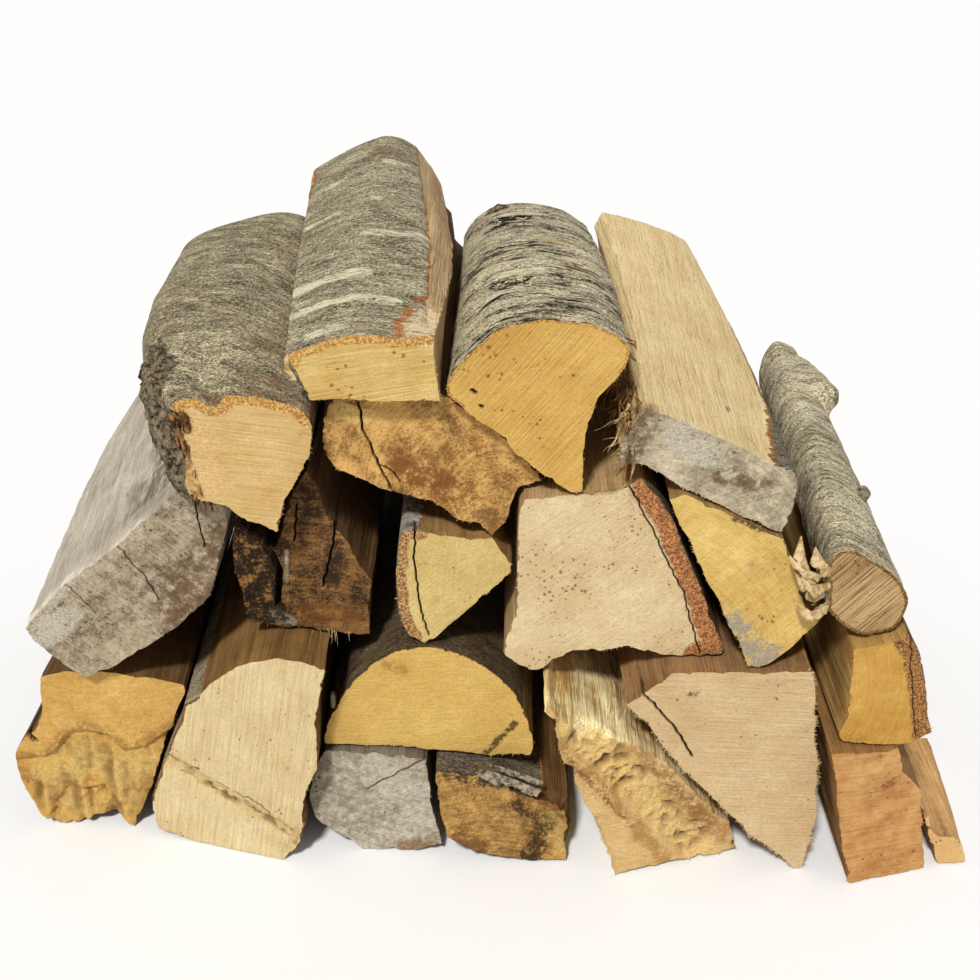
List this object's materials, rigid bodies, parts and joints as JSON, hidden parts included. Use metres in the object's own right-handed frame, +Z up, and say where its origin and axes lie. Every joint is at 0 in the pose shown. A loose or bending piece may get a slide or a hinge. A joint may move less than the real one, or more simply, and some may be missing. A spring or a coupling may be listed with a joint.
{
  "type": "stack of split beech firewood",
  "caption": "Small free-standing pile of split beech firewood, one log deep, with sawn ends to the front: round, half-round, wedge and square logs with bark, cracks and decay.",
  "frame": {"origin": "centre of the bounding box on the floor, under the lowest logs", "axes": "+X along the pile to the viewer's right, -Y towards the viewer, out of the sawn ends in the picture, +Z up"},
  "size_m": [0.4848, 0.2964, 0.3029],
  "materials": {
    "fresh_yellow_beech": "freshly sawn end, yellow heart",
    "pale_beech": "freshly sawn end, pale",
    "orange_beech": "sawn end darkened to orange",
    "spalted_beech": "split face with a decayed groove",
    "weathered_beech": "grey weathered bark and sawn end",
    "grey_sawn_beech": "grey weathered sawn end",
    "brown_beech": "brown cracked sawn end",
    "barked_beech": "grey bark with lichen"
  },
  "bodies": {
    "root": {"torn_orange_log": "orange_beech", "torn_pale_log": "pale_beech", "grey_bottom_log": "grey_sawn_beech", "brown_bottom_log": "brown_beech", "spalted_log": "spalted_beech", "pale_wedge_log": "pale_beech", "orange_square_log": "orange_beech", "thin_sliver_log": "pale_beech", "half_moon_log": "fresh_yellow_beech", "grey_weathered_log": "weathered_beech", "brown_cracked_log": "brown_beech", "wedge_log": "fresh_yellow_beech", "large_pale_log": "pale_beech", "yellow_split_log": "fresh_yellow_beech", "barked_square_log": "fresh_yellow_beech", "set_back_brown_log": "brown_beech", "burled_bark_log": "barked_beech", "barked_slab_log": "barked_beech", "half_round_log": "barked_beech", "split_plank_log": "grey_sawn_beech", "round_branch_log": "barked_beech"}
  },
  "joints": []
}
